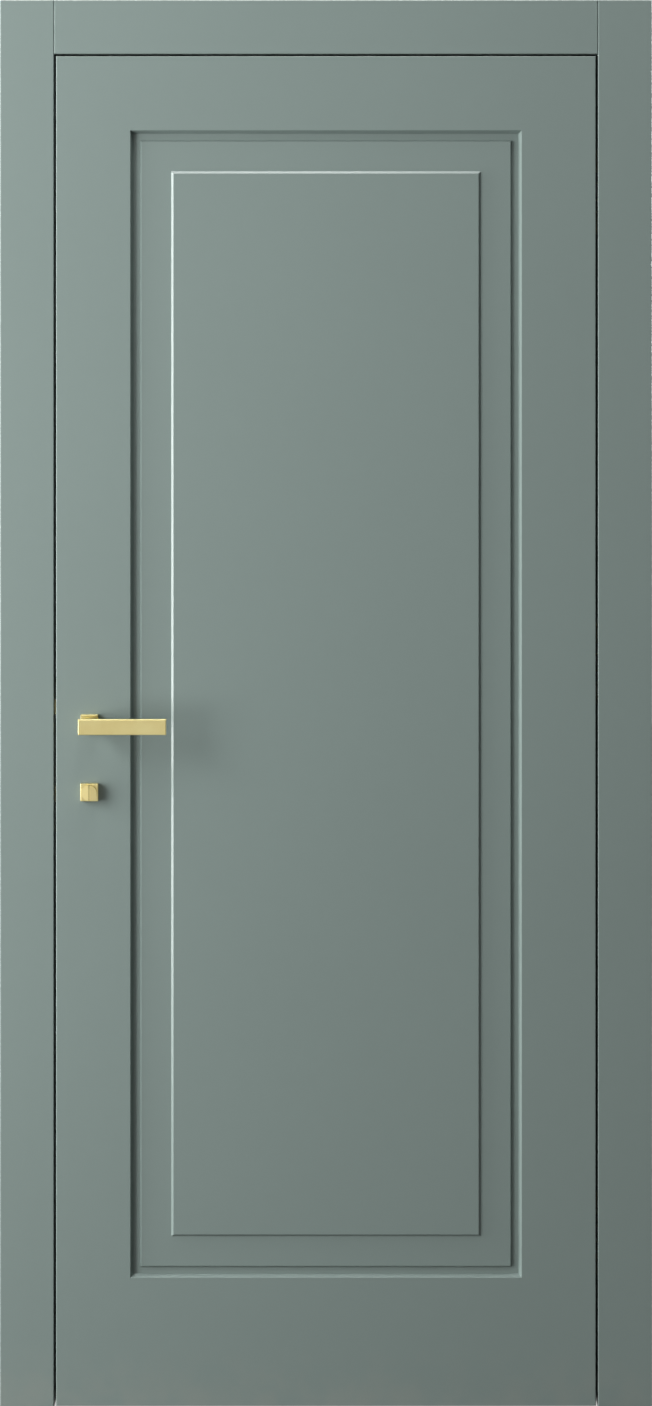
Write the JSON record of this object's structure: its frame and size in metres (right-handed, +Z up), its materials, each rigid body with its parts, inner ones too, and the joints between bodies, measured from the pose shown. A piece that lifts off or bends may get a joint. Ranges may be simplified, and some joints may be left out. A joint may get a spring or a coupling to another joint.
{
  "type": "interior door with frame",
  "caption": "Painted interior door with a stepped panel, set flush in its frame and casings, with concealed hinges, a brass lever latch and a thumb-turn privacy bolt.",
  "frame": {"origin": "on the floor, under the middle of the part's width and depth", "axes": "+Z up, +X to the hinge side as seen from the front, +Y from the front through the door to the back"},
  "size_m": [0.966, 0.174, 2.086],
  "materials": {
    "paint": "satin grey-green paint",
    "brass": "satin brushed",
    "steel": "zinc plated",
    "rubber": "matt",
    "plastic": "matt"
  },
  "bodies": {
    "frame": {"lock_jamb": "paint", "hinge_jamb": "paint", "head_jamb": "paint", "front_lock_casing": "paint", "front_hinge_casing": "paint", "front_head_casing": "paint", "back_lock_casing": "paint", "back_hinge_casing": "paint", "back_head_casing": "paint", "lock_seal": "rubber", "hinge_seal": "rubber", "head_seal": "rubber", "strike_plate": "brass", "strike_box": "plastic", "strike_screws": "brass", "corner_screws": "steel", "frame_hinge_top": "brass", "frame_hinge_middle": "brass", "frame_hinge_bottom": "brass", "frame_hinge_pins": "steel", "frame_hinge_screws": "brass"},
    "frame_arms": {"frame_hinge_arms": "steel"},
    "leaf": {"door_leaf": "paint", "leaf_hinge_top": "brass", "leaf_hinge_middle": "brass", "leaf_hinge_bottom": "brass", "leaf_hinge_pins": "steel", "leaf_hinge_screws": "brass", "lock_case": "steel", "lock_cover": "steel", "lock_cover_screws": "steel", "lock_forend": "brass", "forend_screws": "brass", "front_lever_base": "steel", "front_lever_rose": "brass", "back_lever_base": "steel", "back_lever_rose": "brass", "front_turn_base": "steel", "front_turn_rose": "brass", "back_turn_base": "steel", "back_turn_rose": "brass", "rose_screws": "steel", "follower_spring": "steel", "latch_spring": "steel"},
    "leaf_arms": {"leaf_hinge_arms": "steel"},
    "handle": {"front_lever": "brass", "back_lever": "brass", "lever_spindle": "steel", "lever_grub_screws": "steel", "latch_follower": "steel"},
    "latch": {"latch_bolt": "brass"},
    "turn": {"thumb_turn": "brass", "emergency_release": "brass", "turn_spindle": "steel", "bolt_follower": "steel"},
    "bolt": {"privacy_bolt": "brass"}
  },
  "joints": [
    {"name": "door_swing", "type": "hinge", "parent": "frame", "child": "leaf", "pos_m": [0.4015, -0.0305, 1], "axis": [0, 0, 1], "range_deg": [0, 90]},
    {"name": "frame_arm_turn", "type": "hinge", "parent": "frame", "child": "frame_arms", "pos_m": [0.4055, -0.01, 1.103], "axis": [0, 0, 1], "range_deg": [0, 63]},
    {"name": "leaf_arm_turn", "type": "hinge", "parent": "leaf", "child": "leaf_arms", "pos_m": [0.3975, -0.01, 1.103], "axis": [0, 0, -1], "range_deg": [0, 63]},
    {"name": "lever_turn", "type": "hinge", "parent": "leaf", "child": "handle", "pos_m": [-0.35, -0.007, 1.015], "axis": [0, 1, 0], "range_deg": [0, 35], "stiffness_Nm_per_rad": 1.2, "springref_deg": -17.19, "deforming": ["follower_spring"]},
    {"name": "latch_slide", "type": "slide", "parent": "leaf", "child": "latch", "axis": [1, 0, 0], "range_m": [0, 0.01075], "deforming": ["latch_spring"]},
    {"name": "knob_turn", "type": "hinge", "parent": "leaf", "child": "turn", "pos_m": [-0.35, -0.007, 0.913], "axis": [0, 1, 0], "range_deg": [0, 90]},
    {"name": "bolt_slide", "type": "slide", "parent": "leaf", "child": "bolt", "axis": [-1, 0, 0], "range_m": [0, 0.0142]}
  ],
  "couplings": [
    {"joint": "frame_arm_turn", "follows": "door_swing", "ratio": 0.7},
    {"joint": "leaf_arm_turn", "follows": "door_swing", "ratio": 0.7},
    {"joint": "latch_slide", "follows": "lever_turn", "m_per_rad": 0.0175},
    {"joint": "bolt_slide", "follows": "knob_turn", "m_per_rad": 0.009}
  ]
}
